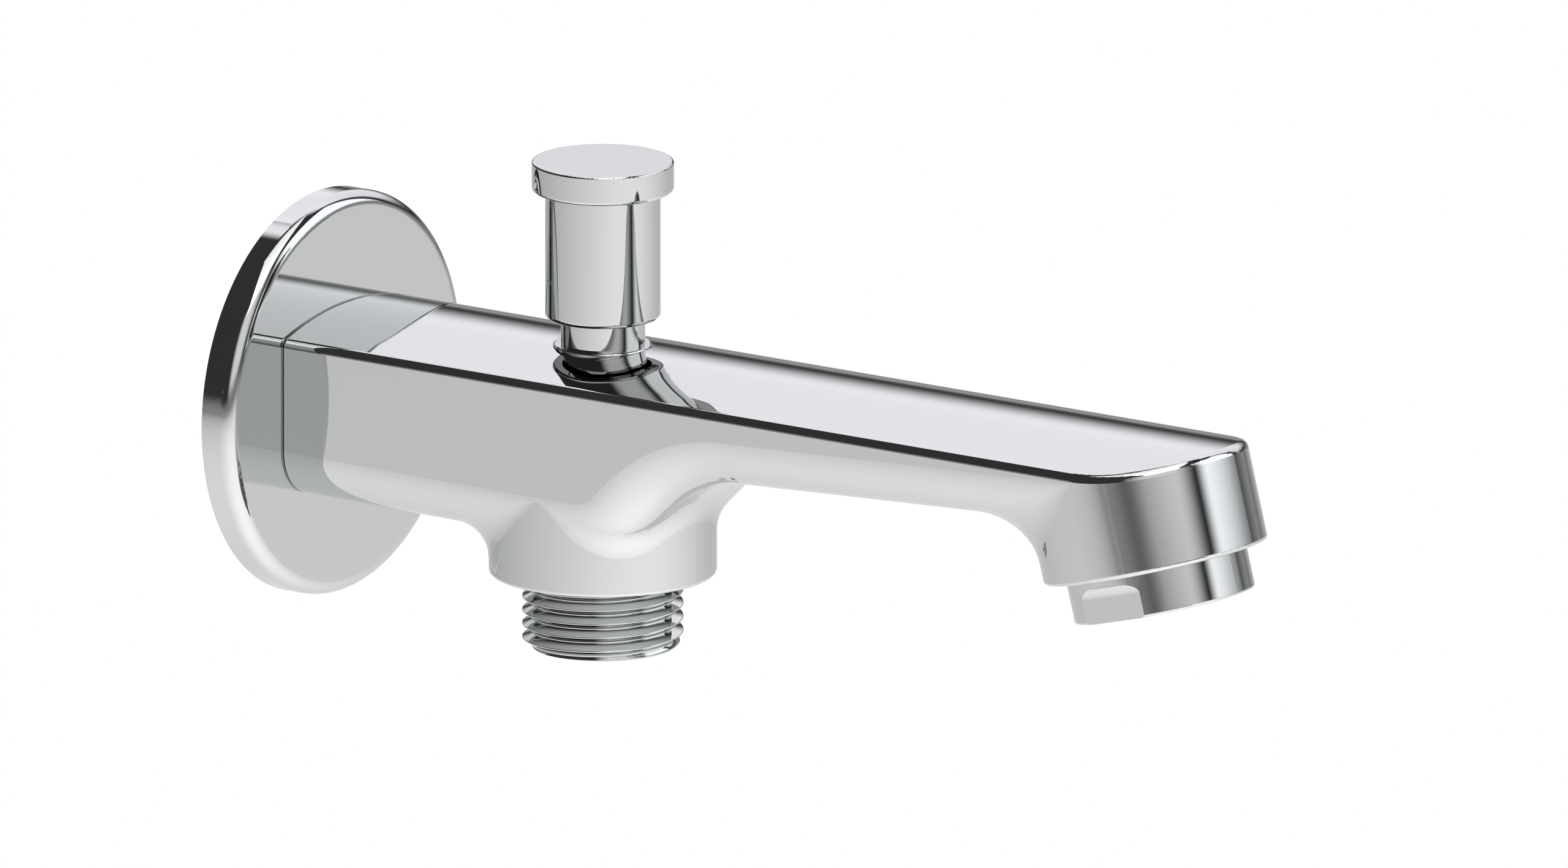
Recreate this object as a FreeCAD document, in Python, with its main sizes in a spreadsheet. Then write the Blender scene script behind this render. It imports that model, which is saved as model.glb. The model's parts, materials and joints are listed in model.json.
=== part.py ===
import FreeCAD, Part
import math
import os
import re
import Sketcher

# Bath spout with a pull-up diverter, a threaded shower outlet and an aerator, in millimetres.
# The origin is on the inlet axis in the wall plane, +X runs out from the wall and +Z up.

SIZES = {
    # wall flange, turned, with a hollow back
    "flange_radius": 26.55,
    "flange_depth": 4.6,
    "flange_web": 1.6,
    "flange_rim": 1.8,
    "flange_round": 1.8,
    "flange_hub_radius": 13.5,
    "flange_hole_radius": 10.9,
    "wall_gasket_width": 4.15,
    "wall_gasket_gap": 0.1,
    # outside of the body
    "half_width": 14.85,
    "crown_radius": 45.7,
    "crown_top_z": 12.4,
    "wall_end_z": -11.5,
    "belly_end_x": 55.2,
    "belly_end_z": -12.0,
    "arm_root_x": 66.36,
    "arm_root_z": -0.75,
    "arm_tip_z": 2.3,
    "belly_round": 11.5,
    "arm_root_round": 20.0,
    "side_flat_least": 0.1,
    "top_round": 1.2,
    "wall_end_round": 0.4,
    "cylinder_inset": 0.02,
    "cut_margin": 5.0,
    # shower boss
    "boss_x": 45.0,
    "boss_bottom_z": -17.95,
    "boss_blend": 5.0,
    "boss_edge_round": 0.5,
    # outlet head, a cylinder tilted forward
    "head_tilt": 14.6,
    "lip_x": 132.86,
    "lip_z": -4.1,
    "cove_round": 10.0,
    "lip_round": 0.6,
    # inlet and waterways in the body
    "inlet_radius": 9.32,
    "inlet_length": 13.0,
    "washer_seat_radius": 9.0,
    "washer_seat_length": 2.2,
    "inlet_throat_radius": 6.5,
    "inlet_throat_length": 4.0,
    "passage_radius": 4.7,
    "passage_z": -4.4,
    "chamber_radius": 10.5,
    "chamber_shoulder_z": -12.2,
    "boss_thread_radius": 11.95,
    "seat_web_bottom_z": 0.8,
    "seat_web_top_z": 2.6,
    "seat_hole_radius": 6.5,
    "chamber_top_z": 9.6,
    "waterway_half_width": 10.5,
    "waterway_top_z": 9.0,
    "waterway_rise": 1.6,
    "way_start": 0.5,
    "outlet_radius": 10.95,
    "outlet_depth": 9.0,
    "outlet_throat_radius": 8.4,
    "outlet_throat_depth": 13.0,
    # diverter gland and its pad in the body
    "pad_radius": 8.0,
    "pad_bottom_z": 6.0,
    "gasket_step_z": 7.2,
    "step_hole_radius": 4.2,
    "gland_thread_radius": 5.9,
    "gland_seat_z": 11.9,
    "gland_lip_radius": 6.4,
    "gland_lip_top_z": 12.6,
    "gland_lip_round": 0.3,
    "neck_radius": 5.5,
    "neck_top_z": 24.0,
    "gland_gasket_thickness": 0.8,
    # diverter spindle and knob
    "spindle_radius": 3.0,
    "running_gap": 0.05,
    "fit_gap": 0.1,
    "spindle_top_z": 30.4,
    "spindle_tip_radius": 2.0,
    "spindle_tip_length": 5.0,
    "collar_radius": 4.5,
    "collar_thickness": 1.2,
    "spindle_end_radius": 2.5,
    "groove_radius": 2.2,
    "groove_width": 1.7,
    "lower_groove_z": 10.2,
    "upper_groove_z": 14.2,
    "oring_section": 0.8,
    "knob_bottom_z": 16.1,
    "knob_radius": 7.5,
    "knob_cap_radius": 9.25,
    "knob_cap_bottom_z": 33.0,
    "knob_top_z": 36.9,
    "knob_bore_radius": 6.05,
    "knob_skirt_round": 0.6,
    "knob_cap_under_round": 0.5,
    "knob_cap_top_round": 0.25,
    # valve stack between the two seats
    "lower_seat_z": -10.5,
    "seat_gap": 0.1,
    "seal_radius": 8.6,
    "seal_thickness": 1.4,
    "disc_radius": 8.2,
    "disc_thickness": 1.2,
    "backing_radius": 5.6,
    "backing_thickness": 0.8,
    "nut_flats": 8.0,
    "nut_height": 2.5,
    "spindle_end_length": 0.6,
    # shower nipple
    "nipple_thread_radius": 10.48,
    "nipple_end_radius": 9.54,
    "nipple_end_z": -27.7,
    "nipple_bore_radius": 6.5,
    "nipple_head_recess": 0.3,
    "nipple_gasket_thickness": 1.0,
    "seat_lip_outer": 8.4,
    "seat_lip_inner": 6.8,
    "seat_bore_depth": 5.0,
    "key_flats": 14.0,
    "key_depth": 8.0,
    # aerator, measured along the head's axis from the lip
    "aerator_ring_radius": 11.95,
    "aerator_ring_length": 5.75,
    "aerator_ring_round": 0.35,
    "aerator_thread_radius": 10.9,
    "aerator_thread_length": 7.4,
    "aerator_bore_radius": 9.6,
    "aerator_lip_radius": 8.9,
    "aerator_lip_length": 0.9,
    "wrench_flats": 22.0,
    "wrench_height": 3.3,
    "wrench_cutter_radius": 1.8,
    "aerator_gasket_inner": 8.6,
    "aerator_gasket_thickness": 1.4,
    "sleeve_wall": 1.1,
    "strainer_thickness": 0.8,
    "strainer_hole_radius": 0.6,
    "strainer_pitch_radius": 2.8,
    "strainer_inner_holes": 6,
    "strainer_outer_holes": 12,
    "diffuser_thickness": 1.2,
    "diffuser_gap": 1.4,
    "diffuser_hole_radius": 0.7,
    "diffuser_pitch_radius": 6.6,
    "diffuser_holes": 16,
    "screen_thickness": 0.3,
    "screen_spacing": 1.5,
    "grille_thickness": 1.8,
    "grille_bar": 0.5,
    "grille_pitch": 2.6,
    "grille_bars_each_side": 3,
}

doc = FreeCAD.newDocument("bath_spout")
sheet = doc.addObject("Spreadsheet::Sheet", "Sizes")
for row, (alias, value) in enumerate(SIZES.items(), start=1):
    sheet.set(f"A{row}", alias)
    sheet.set(f"B{row}", str(value))
    sheet.setAlias(f"B{row}", alias)
doc.recompute()

PARTS = {}
ACROSS = FreeCAD.Vector(0, 1, 0)
IN_PLANE = FreeCAD.Vector(0, 0, 1)
FROM_WALL = {"axis": ACROSS, "angle": "90"}
IN_BOSS = {"x": "boss_x"}
IN_HEAD = {"axis": ACROSS, "angle": "0 - head_tilt", "x": "lip_x", "z": "lip_z"}


def bound(text):
    """Write each size's name in an expression as the sheet's own cell."""
    return re.sub(r"[a-z][a-z_]+", lambda m: f"Sizes.{m[0]}" if m[0] in SIZES else m[0], text)


def tie(obj, **properties):
    """Bind properties of an object to expressions, with two underscores for a dot."""
    for name, text in properties.items():
        obj.setExpression(name.replace("__", "."), bound(text))


def new_body(label):
    body = doc.addObject("PartDesign::Body", label)
    body.Label = label
    PARTS[label] = body
    return body


def new_sketch(body, role, turned_by=None, **offset):
    """A sketch on one of the body's origin planes, moved and turned within that plane's frame."""
    sketch = body.newObject("Sketcher::SketchObject", f"{body.Name}_sketch")
    plane = next(f for f in body.Origin.OriginFeatures if f.Role == role)
    sketch.AttachmentSupport = [(plane, "")]
    sketch.MapMode = "FlatFace"
    if turned_by:
        axis, angle = turned_by
        turn = FreeCAD.Rotation(axis, 1)
        sketch.AttachmentOffset = FreeCAD.Placement(FreeCAD.Vector(), turn)
        tie(sketch, AttachmentOffset__Rotation__Angle=angle)
    for name, text in offset.items():
        tie(sketch, **{f"AttachmentOffset__Base__{name}": text})
    return sketch


def place(sketch, geometry, point, x, y):
    """Hold one point of a sketch at x and y; a plain 0 puts it on that axis of the sketch."""
    for text, kind, axis in ((x, "DistanceX", -2), (y, "DistanceY", -1)):
        if text == "0":
            sketch.addConstraint(Sketcher.Constraint("PointOnObject", geometry, point, axis))
        else:
            index = sketch.addConstraint(Sketcher.Constraint(kind, -1, 1, geometry, point, 1.0))
            sketch.setExpression(f"Constraints[{index}]", bound(text))


def polygon(sketch, points):
    """A closed outline of straight lines whose corners sit at the given expressions."""
    first = sketch.GeometryCount
    count = len(points)
    start = FreeCAD.Vector(10, 0, 0)
    corners = [FreeCAD.Rotation(IN_PLANE, 360 * i / count).multVec(start) for i in range(count)]
    for i in range(count):
        sketch.addGeometry(Part.LineSegment(corners[i], corners[(i + 1) % count]), False)
    for i in range(count):
        after = first + (i + 1) % count
        sketch.addConstraint(Sketcher.Constraint("Coincident", first + i, 2, after, 1))
    for i, (x, y) in enumerate(points):
        place(sketch, first + i, 1, x, y)


def cell(alias):
    """The number that a size has in the sheet."""
    return float(getattr(sheet, alias))


def rectangle(sketch, x_low, x_high, y_low, y_high):
    polygon(sketch, [(x_low, y_low), (x_high, y_low), (x_high, y_high), (x_low, y_high)])


def outer_round(sketch, radius, size):
    """What a lathe takes off a lower outer corner of a given radius to round it."""
    r, s, margin = cell(radius), cell(size), cell("cut_margin")
    round_corner = Part.Circle(FreeCAD.Vector(r - s, s, 0), IN_PLANE, s)
    arc = sketch.addGeometry(Part.ArcOfCircle(round_corner, -math.pi / 2, 0), False)
    path = [(r, s), (r + margin, s), (r + margin, -margin), (r - s, -margin), (r - s, 0)]
    corners = [FreeCAD.Vector(x, y, 0) for x, y in path]
    lines = [sketch.addGeometry(Part.LineSegment(a, b), False) for a, b in zip(corners, corners[1:])]
    sketch.addConstraint(Sketcher.Constraint("Coincident", arc, 2, lines[0], 1))
    for before, after in zip(lines, lines[1:]):
        sketch.addConstraint(Sketcher.Constraint("Coincident", before, 2, after, 1))
    sketch.addConstraint(Sketcher.Constraint("Coincident", lines[3], 2, arc, 1))
    sketch.addConstraint(Sketcher.Constraint("Horizontal", lines[0]))
    sketch.addConstraint(Sketcher.Constraint("Vertical", lines[3]))
    at = sketch.addConstraint(Sketcher.Constraint("Radius", arc, s))
    sketch.setExpression(f"Constraints[{at}]", bound(size))
    place(sketch, arc, 3, f"{radius} - {size}", size)
    place(sketch, lines[0], 2, f"{radius} + cut_margin", size)
    place(sketch, lines[1], 2, f"{radius} + cut_margin", "0 - cut_margin")
    place(sketch, lines[2], 2, f"{radius} - {size}", "0 - cut_margin")


def circle(sketch, x, y, radius):
    index = sketch.addGeometry(Part.Circle(FreeCAD.Vector(1, 1, 0), IN_PLANE, 2), False)
    place(sketch, index, 3, x, y)
    size = sketch.addConstraint(Sketcher.Constraint("Radius", index, 2.0))
    sketch.setExpression(f"Constraints[{size}]", bound(radius))


def half_disc(sketch, radius, facing=1):
    """The half of a disc about the sketch's origin on its +X side, or -X where facing is -1."""
    centre = FreeCAD.Vector(0, 0, 0)
    start = -facing * math.pi / 2
    arc = Part.ArcOfCircle(Part.Circle(centre, IN_PLANE, 10), start, start + math.pi)
    index = sketch.addGeometry(arc, False)
    ends = (FreeCAD.Vector(0, facing * 10, 0), FreeCAD.Vector(0, -facing * 10, 0))
    side = sketch.addGeometry(Part.LineSegment(*ends), False)
    sketch.addConstraint(Sketcher.Constraint("Coincident", index, 3, -1, 1))
    sketch.addConstraint(Sketcher.Constraint("Coincident", index, 2, side, 1))
    sketch.addConstraint(Sketcher.Constraint("Coincident", index, 1, side, 2))
    sketch.addConstraint(Sketcher.Constraint("PointOnObject", side, 1, -2))
    sketch.addConstraint(Sketcher.Constraint("PointOnObject", side, 2, -2))
    size = sketch.addConstraint(Sketcher.Constraint("Radius", index, 10.0))
    sketch.setExpression(f"Constraints[{size}]", bound(radius))


def feature(body, kind, sketch, **settings):
    """Add a sketch-based feature, with plain settings and Length or similar as expressions."""
    item = body.newObject(f"PartDesign::{kind}", f"{body.Name}_{kind}")
    item.Profile = sketch
    for name, value in settings.items():
        if name in ("Length", "Length2"):
            tie(item, **{name: value})
        else:
            setattr(item, name, value)
    doc.recompute()
    return item


def revolve(body, kind, sketch):
    return feature(body, kind, sketch, ReferenceAxis=(sketch, ["V_Axis"]), Angle=360.0)


def edges_where(base, wanted):
    """Names of the edges of a feature all of whose sample points pass a test."""
    names = []
    for number, edge in enumerate(base.Shape.Edges, start=1):
        if edge.Length > 1e-3 and wanted(edge, edge.discretize(9)):
            names.append(f"Edge{number}")
    if not names:
        raise ValueError(f"{base.Name}: no edge found to round")
    return names


def fillet(body, radius, wanted):
    base = body.Tip
    item = body.newObject("PartDesign::Fillet", f"{body.Name}_fillet")
    item.Base = (base, edges_where(base, wanted))
    tie(item, Radius=radius)
    doc.recompute()
    return item


def level_circle(radius, z):
    """A test for edges that are level circles about the body's own Z axis."""
    def wanted(edge, points):
        return all(abs(math.hypot(p.x, p.y) - radius) < 1e-3 and abs(p.z - z) < 1e-3 for p in points)
    return wanted


def turned(label, profile, rounds=(), axis=None, angle=None, **base):
    """A piece turned about its own Z axis from a profile of radius and height.

    rounds lists (corner number, radius); axis and angle turn the piece and base moves it.
    """
    body = new_body(label)
    sketch = new_sketch(body, "XZ_Plane")
    polygon(sketch, profile)
    revolve(body, "Revolution", sketch)
    for corner, radius in rounds:
        point = sketch.Geometry[corner].StartPoint
        fillet(body, radius, level_circle(point.x, point.y))
    seat(body, axis, angle, **base)
    return body


def seat(obj, axis=None, angle=None, **base):
    """Place a finished piece in the spout's frame."""
    if axis:
        obj.Placement = FreeCAD.Placement(FreeCAD.Vector(), FreeCAD.Rotation(axis, 1))
        tie(obj, Placement__Rotation__Angle=angle)
    for name, text in base.items():
        tie(obj, **{f"Placement__Base__{name}": text})
    doc.recompute()


def ring(label, outer, inner, low, high, **where):
    """A flat washer or sleeve between two heights."""
    return turned(label, [(inner, low), (outer, low), (outer, high), (inner, high)], **where)


def lip_frame():
    """The lip's centre and the head's axis, pointing up."""
    tilt = math.radians(cell("head_tilt"))
    centre = FreeCAD.Vector(cell("lip_x"), 0, cell("lip_z"))
    return centre, FreeCAD.Vector(-math.sin(tilt), 0, math.cos(tilt))


def near(value, target, slack=1e-3):
    return abs(value - target) < slack


def spout_body():
    """The brass casting: belly, arm, tilted head and boss, with its machined ways."""
    # the flat side lies between the top round and the underside's round, least wide at the head
    rim_z = "crown_top_z - crown_radius + sqrt(crown_radius^2 - half_width^2)"
    side_top = f"({rim_z} - top_round * tan(45 deg - asin(half_width / crown_radius) / 2))"
    under_round = f"{side_top} - side_flat_least - arm_tip_z"
    core_height = f"({side_top} - side_flat_least / 2 - lip_z) / cos(head_tilt)"
    body = new_body("spout_body")
    side = new_sketch(body, "XZ_Plane")
    head_axis_x = "lip_x - ({z} - lip_z) * tan(head_tilt)"
    raw_top = "crown_top_z + cut_margin"
    polygon(side, [
        ("flange_depth", raw_top),
        ("flange_depth", "wall_end_z"),
        ("belly_end_x", "belly_end_z"),
        ("arm_root_x", "arm_root_z"),
        (head_axis_x.format(z="arm_tip_z"), "arm_tip_z"),
        (head_axis_x.format(z=f"({raw_top})"), raw_top),
    ])
    feature(body, "Pad", side, SideType="Symmetric", Length="2 * half_width")

    def crosswise(x, z):
        return lambda edge, points: all(near(p.x, x) and near(p.z, z) for p in points)

    fillet(body, "belly_round", crosswise(cell("belly_end_x"), cell("belly_end_z")))
    fillet(body, "arm_root_round", crosswise(cell("arm_root_x"), cell("arm_root_z")))
    half_width = cell("half_width")
    arm_tip = cell("arm_tip_z")

    def lower_side(edge, points):
        on_side = all(near(abs(p.y), half_width) and p.z < arm_tip + 1 for p in points)
        return on_side and abs(points[0].x - points[-1].x) > 0.5

    fillet(body, under_round, lower_side)

    # front half of the tilted head, flush with the arm's sides
    nose = new_sketch(body, "XY_Plane", turned_by=(ACROSS, "0 - head_tilt"), x="lip_x", z="lip_z")
    half_disc(nose, "half_width")
    feature(body, "Pad", nose, Length="(crown_top_z - lip_z) / cos(head_tilt) + cut_margin")

    # everything outside the crown's long cylinder goes
    crown = new_sketch(body, "YZ_Plane")
    circle(crown, "0", "crown_top_z - crown_radius", "crown_radius")
    rectangle(crown, "0 - 2 * crown_radius", "2 * crown_radius", "0 - 3 * crown_radius", "crown_radius")
    feature(body, "Pocket", crown, Type="ThroughAll", SideType="Symmetric")

    centre, up = lip_frame()
    radius = half_width - cell("cylinder_inset")
    boss_x = cell("boss_x")
    boss_bottom = cell("boss_bottom_z")
    crown_z = cell("crown_top_z") - cell("crown_radius")

    def on_head(p):
        return near((p - centre).cross(up).Length, radius, 2e-3)

    def on_crown(p):
        return near(math.hypot(p.y, p.z - crown_z), cell("crown_radius"), 2e-3)

    def top_rim(edge, points):
        return all(on_crown(p) for p in points) and max(p.x for p in points) > cell("flange_depth") + 0.1

    fillet(body, "top_round", top_rim)

    # shower boss, and the rear half of the head, a hair inside the flat sides
    boss = new_sketch(body, "XY_Plane", x="boss_x", z="boss_bottom_z")
    circle(boss, "0", "0", "half_width - cylinder_inset")
    feature(body, "Pad", boss, Length="seat_web_top_z - boss_bottom_z")

    def boss_root(edge, points):
        around = all(near(math.hypot(p.x - boss_x, p.y), radius, 2e-3) for p in points)
        upright = abs(points[0].x - points[-1].x) < 1e-3 and near(points[0].y, points[-1].y)
        return around and not upright and min(p.z for p in points) > boss_bottom + 0.5

    fillet(body, "boss_blend", boss_root)
    core = new_sketch(body, "XY_Plane", turned_by=(ACROSS, "0 - head_tilt"), x="lip_x", z="lip_z")
    half_disc(core, "half_width - cylinder_inset", facing=-1)
    feature(body, "Pad", core, Length=core_height)

    def cove(edge, points):
        if not all(on_head(p) and (p - centre).dot(up) > 0.5 for p in points):
            return False
        return abs((points[-1] - points[0]).normalize().dot(up)) < 0.999

    fillet(body, "cove_round", cove)

    def boss_edge(edge, points):
        around = all(near(math.hypot(p.x - boss_x, p.y), radius) for p in points)
        return around and all(near(p.z, boss_bottom) for p in points)

    fillet(body, "boss_edge_round", boss_edge)

    def wall_end(edge, points):
        return all(near(p.x, cell("flange_depth")) for p in points)

    fillet(body, "wall_end_round", wall_end)
    lip = new_sketch(body, "XZ_Plane", turned_by=(IN_PLANE, "head_tilt"), x="lip_x", y="lip_z")
    outer_round(lip, "half_width", "lip_round")
    revolve(body, "Groove", lip)

    # valve bore: thread, chamber, upper seat, upper chamber round the gland's pad, gland hole
    bore = new_sketch(body, "XZ_Plane", x="boss_x")
    polygon(bore, [
        ("0", "boss_bottom_z - cut_margin"),
        ("boss_thread_radius", "boss_bottom_z - cut_margin"),
        ("boss_thread_radius", "chamber_shoulder_z"),
        ("chamber_radius", "chamber_shoulder_z"),
        ("chamber_radius", "seat_web_bottom_z"),
        ("seat_hole_radius", "seat_web_bottom_z"),
        ("seat_hole_radius", "seat_web_top_z"),
        ("chamber_radius", "seat_web_top_z"),
        ("chamber_radius", "chamber_top_z"),
        ("pad_radius", "chamber_top_z"),
        ("pad_radius", "pad_bottom_z"),
        ("step_hole_radius", "pad_bottom_z"),
        ("step_hole_radius", "gasket_step_z"),
        ("gland_thread_radius + running_gap", "gasket_step_z"),
        ("gland_thread_radius + running_gap", "gland_seat_z"),
        ("gland_lip_radius + fit_gap", "gland_seat_z"),
        ("gland_lip_radius + fit_gap", "crown_top_z + cut_margin"),
        ("0", "crown_top_z + cut_margin"),
    ])
    revolve(body, "Groove", bore)

    # inlet thread, washer seat and throat, turned about the inlet's axis
    inlet = new_sketch(body, "XY_Plane", turned_by=(IN_PLANE, "0 - 90"))
    seat_end = "flange_depth + inlet_length + washer_seat_length"
    polygon(inlet, [
        ("0", "0"),
        ("inlet_radius", "0"),
        ("inlet_radius", "flange_depth + inlet_length"),
        ("washer_seat_radius", "flange_depth + inlet_length"),
        ("washer_seat_radius", seat_end),
        ("inlet_throat_radius", seat_end),
        ("inlet_throat_radius", f"{seat_end} + inlet_throat_length"),
        ("0", f"{seat_end} + inlet_throat_length"),
    ])
    revolve(body, "Groove", inlet)
    passage = new_sketch(body, "YZ_Plane", z=seat_end)
    circle(passage, "0", "passage_z", "passage_radius")
    feature(body, "Pocket", passage, Reversed=True, Length=f"boss_x - ({seat_end})")

    # the way along the arm, and the outlet that takes the aerator
    way = new_sketch(body, "XZ_Plane")
    polygon(way, [
        ("boss_x + pad_radius + way_start", "seat_web_top_z"),
        ("lip_x - half_width / 2", "seat_web_top_z + waterway_rise"),
        ("lip_x - half_width / 2", "waterway_top_z"),
        ("boss_x + pad_radius + way_start", "waterway_top_z"),
    ])
    feature(body, "Pocket", way, SideType="Symmetric", Length="2 * waterway_half_width")
    outlet = new_sketch(body, "XZ_Plane", turned_by=(IN_PLANE, "head_tilt"), x="lip_x", y="lip_z")
    polygon(outlet, [
        ("0", "0 - cut_margin"),
        ("outlet_radius", "0 - cut_margin"),
        ("outlet_radius", "outlet_depth"),
        ("outlet_throat_radius", "outlet_depth"),
        ("outlet_throat_radius", "outlet_throat_depth"),
        ("0", "outlet_throat_depth"),
    ])
    revolve(body, "Groove", outlet)


def diverter():
    """Gland, spindle, knob and the valve stack, on the boss's axis with the knob down."""
    gland_bottom = "gasket_step_z + gland_gasket_thickness"
    bore = "spindle_radius + running_gap"
    turned("diverter_gland", [
        (bore, gland_bottom),
        ("gland_thread_radius", gland_bottom),
        ("gland_thread_radius", "gland_seat_z"),
        ("gland_lip_radius", "gland_seat_z"),
        ("gland_lip_radius", "gland_lip_top_z"),
        ("neck_radius", "gland_lip_top_z"),
        ("neck_radius", "neck_top_z"),
        (bore, "neck_top_z"),
    ], rounds=[(4, "gland_lip_round")], **IN_BOSS)
    ring("gland_gasket", "gland_thread_radius - fit_gap", "step_hole_radius + 2 * fit_gap",
         "gasket_step_z", gland_bottom, **IN_BOSS)

    stack_bottom = "lower_seat_z + seat_gap"
    disc_bottom = f"{stack_bottom} + seal_thickness"
    disc_top = f"{disc_bottom} + disc_thickness"
    stack_top = f"{disc_top} + seal_thickness"
    collar_bottom = f"{stack_top} + backing_thickness"
    collar_top = f"{collar_bottom} + collar_thickness"
    nut_top = f"{stack_bottom} - backing_thickness"
    end_z = f"{nut_top} - nut_height - spindle_end_length"
    hole = "spindle_end_radius + running_gap"
    grooves = []
    for middle in ("lower_groove_z", "upper_groove_z"):
        low, high = f"{middle} - groove_width / 2", f"{middle} + groove_width / 2"
        grooves += [("spindle_radius", low), ("groove_radius", low), ("groove_radius", high),
                    ("spindle_radius", high)]
    turned("diverter_spindle", [
        ("0", end_z),
        ("spindle_end_radius", end_z),
        ("spindle_end_radius", collar_bottom),
        ("collar_radius", collar_bottom),
        ("collar_radius", collar_top),
        ("spindle_radius", collar_top),
        *grooves,
        ("spindle_radius", "spindle_top_z"),
        ("spindle_tip_radius", "spindle_top_z"),
        ("spindle_tip_radius", "spindle_top_z + spindle_tip_length"),
        ("0", "spindle_top_z + spindle_tip_length"),
    ], **IN_BOSS)
    ring("upper_backing_washer", "backing_radius", hole, stack_top, collar_bottom, **IN_BOSS)
    ring("upper_valve_seal", "seal_radius", hole, disc_top, stack_top, **IN_BOSS)
    ring("valve_disc", "disc_radius", hole, disc_bottom, disc_top, **IN_BOSS)
    ring("lower_valve_seal", "seal_radius", hole, stack_bottom, disc_bottom, **IN_BOSS)
    ring("lower_backing_washer", "backing_radius", hole, nut_top, stack_bottom, **IN_BOSS)

    nut = new_body("valve_nut")
    outline = new_sketch(nut, "XY_Plane", z=f"{nut_top} - nut_height")
    hexagon(outline, "nut_flats")
    circle(outline, "0", "0", hole)
    feature(nut, "Pad", outline, Length="nut_height")
    seat(nut, **IN_BOSS)

    for name, middle in (("lower", "lower_groove_z"), ("upper", "upper_groove_z")):
        oring = doc.addObject("Part::Torus", f"spindle_oring_{name}")
        oring.Label = oring.Name
        tie(oring, Radius1="groove_radius + oring_section / 2", Radius2="oring_section / 2")
        seat(oring, x="boss_x", z=middle)
        PARTS[oring.Label] = oring

    turned("diverter_knob", [
        ("0", "knob_top_z"),
        ("0", "spindle_top_z + spindle_tip_length + fit_gap"),
        ("spindle_tip_radius + running_gap", "spindle_top_z + spindle_tip_length + fit_gap"),
        ("spindle_tip_radius + running_gap", "spindle_top_z"),
        ("knob_bore_radius", "spindle_top_z"),
        ("knob_bore_radius", "knob_bottom_z"),
        ("knob_radius", "knob_bottom_z"),
        ("knob_radius", "knob_cap_bottom_z"),
        ("knob_cap_radius", "knob_cap_bottom_z"),
        ("knob_cap_radius", "knob_top_z"),
    ], rounds=[
        (6, "knob_skirt_round"),
        (8, "knob_cap_under_round"),
        (9, "knob_cap_top_round"),
    ], **IN_BOSS)


def hexagon(sketch, flats):
    """A six-sided outline of a given size across its flats."""
    corner = f"{flats} / sqrt(3)"
    polygon(sketch, [
        (corner, "0"),
        (f"{corner} / 2", f"{flats} / 2"),
        (f"0 - {corner} / 2", f"{flats} / 2"),
        (f"0 - {corner}", "0"),
        (f"0 - {corner} / 2", f"0 - {flats} / 2"),
        (f"{corner} / 2", f"0 - {flats} / 2"),
    ])


def shower_outlet():
    """The nipple screwed up into the boss, whose top rim is the lower seat, and its gasket."""
    gasket_bottom = "chamber_shoulder_z - nipple_gasket_thickness"
    head_bottom = "boss_bottom_z + nipple_head_recess"
    chamfer = "nipple_thread_radius - nipple_end_radius"
    nipple = turned("shower_nipple", [
        ("nipple_bore_radius", "nipple_end_z"),
        ("nipple_end_radius", "nipple_end_z"),
        ("nipple_thread_radius", f"nipple_end_z + {chamfer}"),
        ("nipple_thread_radius", head_bottom),
        ("boss_thread_radius - running_gap", head_bottom),
        ("boss_thread_radius - running_gap", gasket_bottom),
        ("seat_lip_outer", gasket_bottom),
        ("seat_lip_outer", "lower_seat_z"),
        ("seat_lip_inner", "lower_seat_z"),
        ("seat_lip_inner", "lower_seat_z - seat_bore_depth"),
        ("nipple_bore_radius", "lower_seat_z - seat_bore_depth"),
    ])
    key = new_sketch(nipple, "XY_Plane", z="nipple_end_z")
    hexagon(key, "key_flats")
    feature(nipple, "Pocket", key, Reversed=True, Length="key_depth")
    seat(nipple, **IN_BOSS)
    ring("nipple_gasket", "boss_thread_radius - fit_gap", "seat_lip_outer + fit_gap",
         gasket_bottom, "chamber_shoulder_z", **IN_BOSS)


def wall_side():
    """The turned flange with its hollow back, its ring against the wall, and the inlet's washer."""
    turned("wall_flange", [
        ("flange_hole_radius", "0"),
        ("flange_hub_radius", "0"),
        ("flange_hub_radius", "flange_depth - flange_web"),
        ("flange_radius - flange_rim", "flange_depth - flange_web"),
        ("flange_radius - flange_rim", "0"),
        ("flange_radius", "0"),
        ("flange_radius", "flange_depth"),
        ("flange_hole_radius", "flange_depth"),
    ], rounds=[(6, "flange_round")], **FROM_WALL)
    gasket_outer = "flange_radius - flange_rim - wall_gasket_gap"
    ring("wall_gasket", gasket_outer, f"{gasket_outer} - wall_gasket_width",
         "0", "flange_depth - flange_web", **FROM_WALL)
    washer_start = "flange_depth + inlet_length"
    ring("inlet_washer", "washer_seat_radius - fit_gap", "inlet_throat_radius",
         f"{washer_start} + fit_gap", f"{washer_start} + washer_seat_length", **FROM_WALL)


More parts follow.
